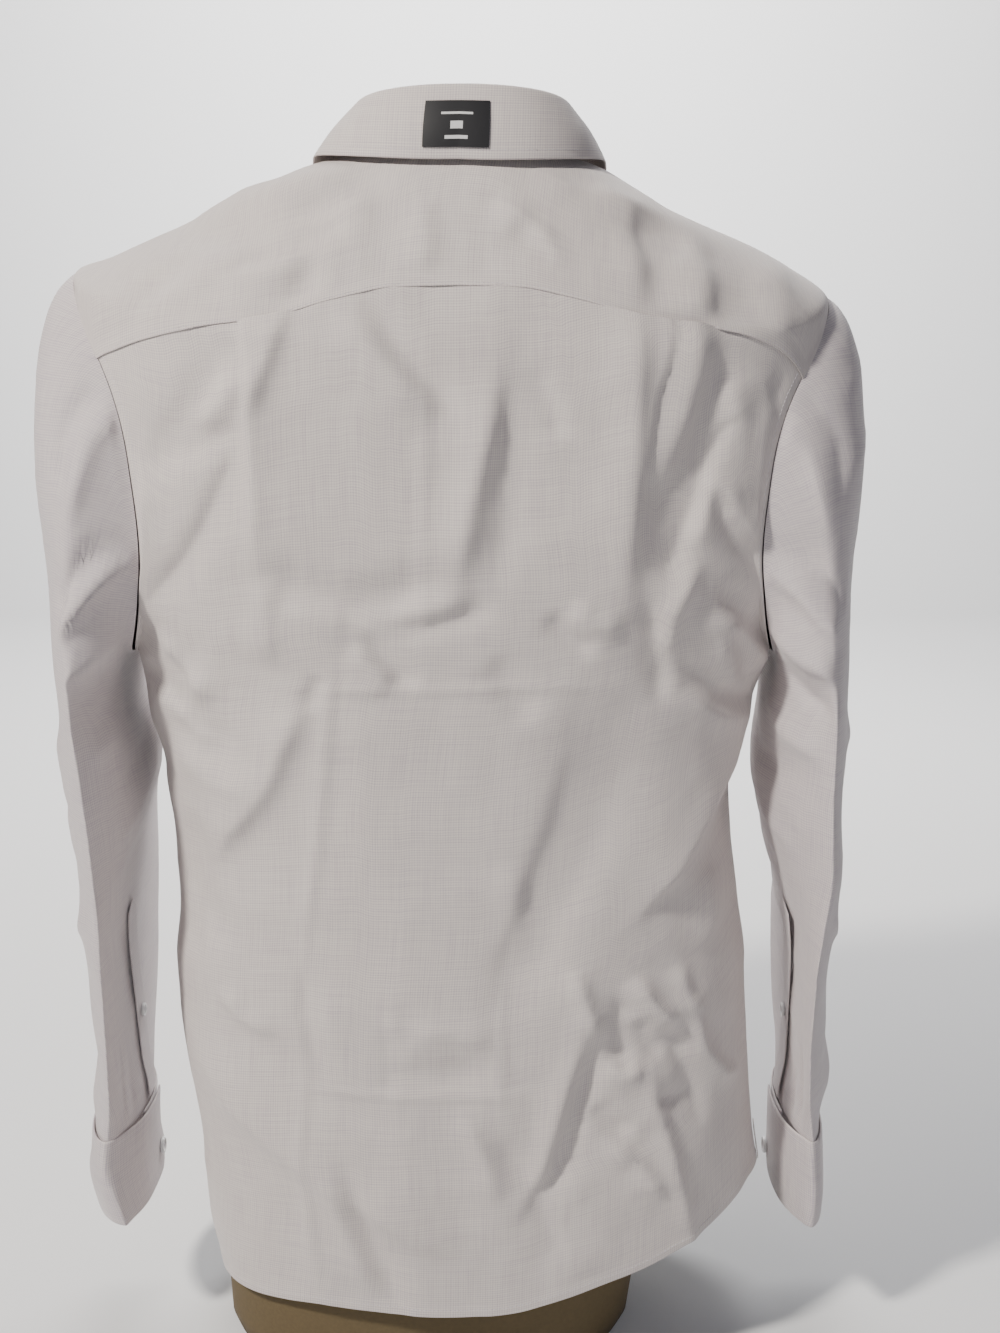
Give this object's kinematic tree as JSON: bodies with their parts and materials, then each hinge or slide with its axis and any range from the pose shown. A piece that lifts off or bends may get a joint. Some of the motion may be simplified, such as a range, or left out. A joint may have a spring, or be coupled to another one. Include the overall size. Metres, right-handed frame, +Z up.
{
  "type": "long sleeve dress shirt on a limbless dress form",
  "caption": "Slim long sleeve dress shirt, buttoned and hanging empty-sleeved on a limbless torso form with a flat base.",
  "frame": {"origin": "on the form's flat base, straight under the collar's middle, on the surface it stands on", "axes": "+Z up, +Y the way the garment's front faces, +X to the wearer's right"},
  "size_m": [0.5131, 0.2342, 0.8011],
  "materials": {
    "shirting": "fine pale lilac micro-check cotton",
    "label": "matte black sticker",
    "button": "pearl",
    "form_cover": "olive-brown cloth cover"
  },
  "bodies": {
    "root": {"back_panel": "shirting", "back_yoke": "shirting", "front_left": "shirting", "front_right": "shirting", "sleeve_left": "shirting", "sleeve_right": "shirting", "cuff_left": "shirting", "cuff_right": "shirting", "sleeve_placket_left": "shirting", "sleeve_placket_right": "shirting", "hem_gusset_left": "shirting", "hem_gusset_right": "shirting", "collar_stand": "shirting", "collar_leaf": "shirting", "size_label": "label", "front_button_1": "button", "front_button_2": "button", "front_button_3": "button", "front_button_4": "button", "front_button_5": "button", "front_button_6": "button", "front_button_7": "button", "collar_button": "button", "cuff_button_left": "button", "cuff_button_right": "button", "placket_button_left": "button", "placket_button_right": "button", "form_torso": "form_cover", "form_neck_cap": "form_cover"}
  },
  "joints": []
}
